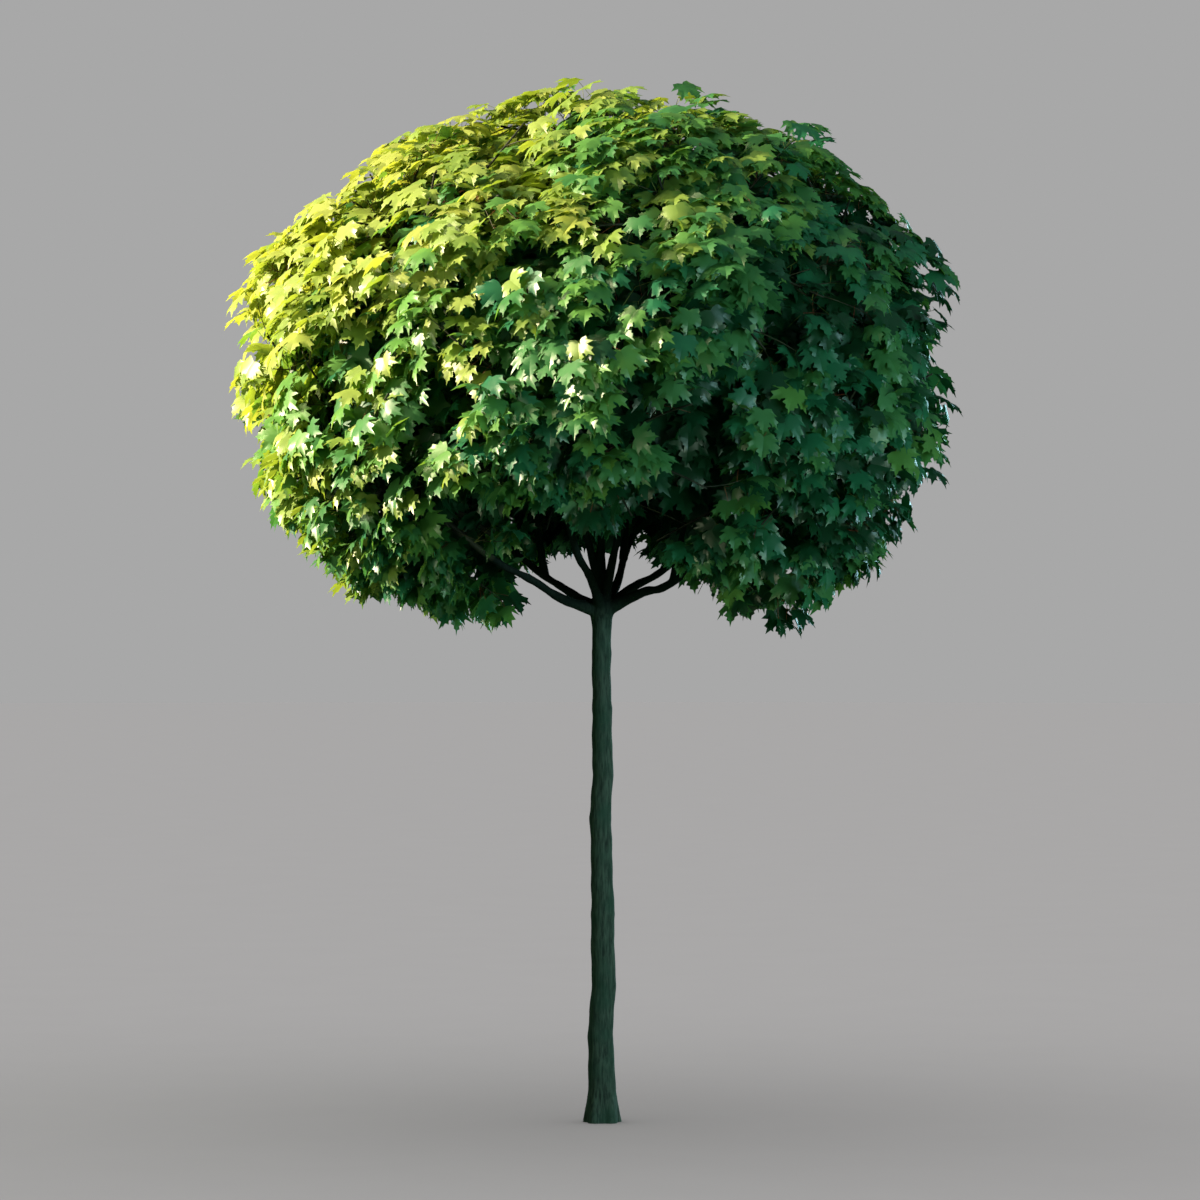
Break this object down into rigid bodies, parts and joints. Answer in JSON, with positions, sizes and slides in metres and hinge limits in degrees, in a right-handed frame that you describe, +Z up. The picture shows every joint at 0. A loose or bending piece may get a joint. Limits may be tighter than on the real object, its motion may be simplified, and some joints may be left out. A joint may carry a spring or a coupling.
{
  "type": "ball-headed maple tree on a clear stem",
  "caption": "Deciduous street tree with a straight clear stem, boughs spreading from a graft head and a dense, slightly flattened ball crown of lobed green leaves.",
  "frame": {"origin": "middle of the flat cut under the trunk, at ground level", "axes": "+Z up along the trunk; -Y towards the viewer of the picture; +X to the picture's right"},
  "size_m": [3.1298, 3.128, 4.5386],
  "materials": {
    "bark": "smooth grey-green young bark with faint ring scars",
    "foliage": "thin leaves, slightly glossy above, light showing through"
  },
  "bodies": {
    "root": {"trunk": "bark", "bough_front_right": "bark", "bough_back_right": "bark", "bough_back": "bark", "bough_back_left": "bark", "bough_front_left": "bark", "bough_front": "bark", "bough_top": "bark", "bough_upper_front_right": "bark", "bough_upper_front_left": "bark", "limb_upper_right": "bark", "limb_upper_back_right": "bark", "limb_upper_back_left": "bark", "foliage_back_right": "foliage", "foliage_back": "foliage", "foliage_back_left": "foliage", "foliage_front_left": "foliage", "foliage_front": "foliage", "foliage_front_right": "foliage", "foliage_upper_right": "foliage", "foliage_upper_back_right": "foliage", "foliage_upper_back_left": "foliage", "foliage_upper_front_left": "foliage", "foliage_upper_front_right": "foliage", "foliage_top": "foliage"}
  },
  "joints": []
}
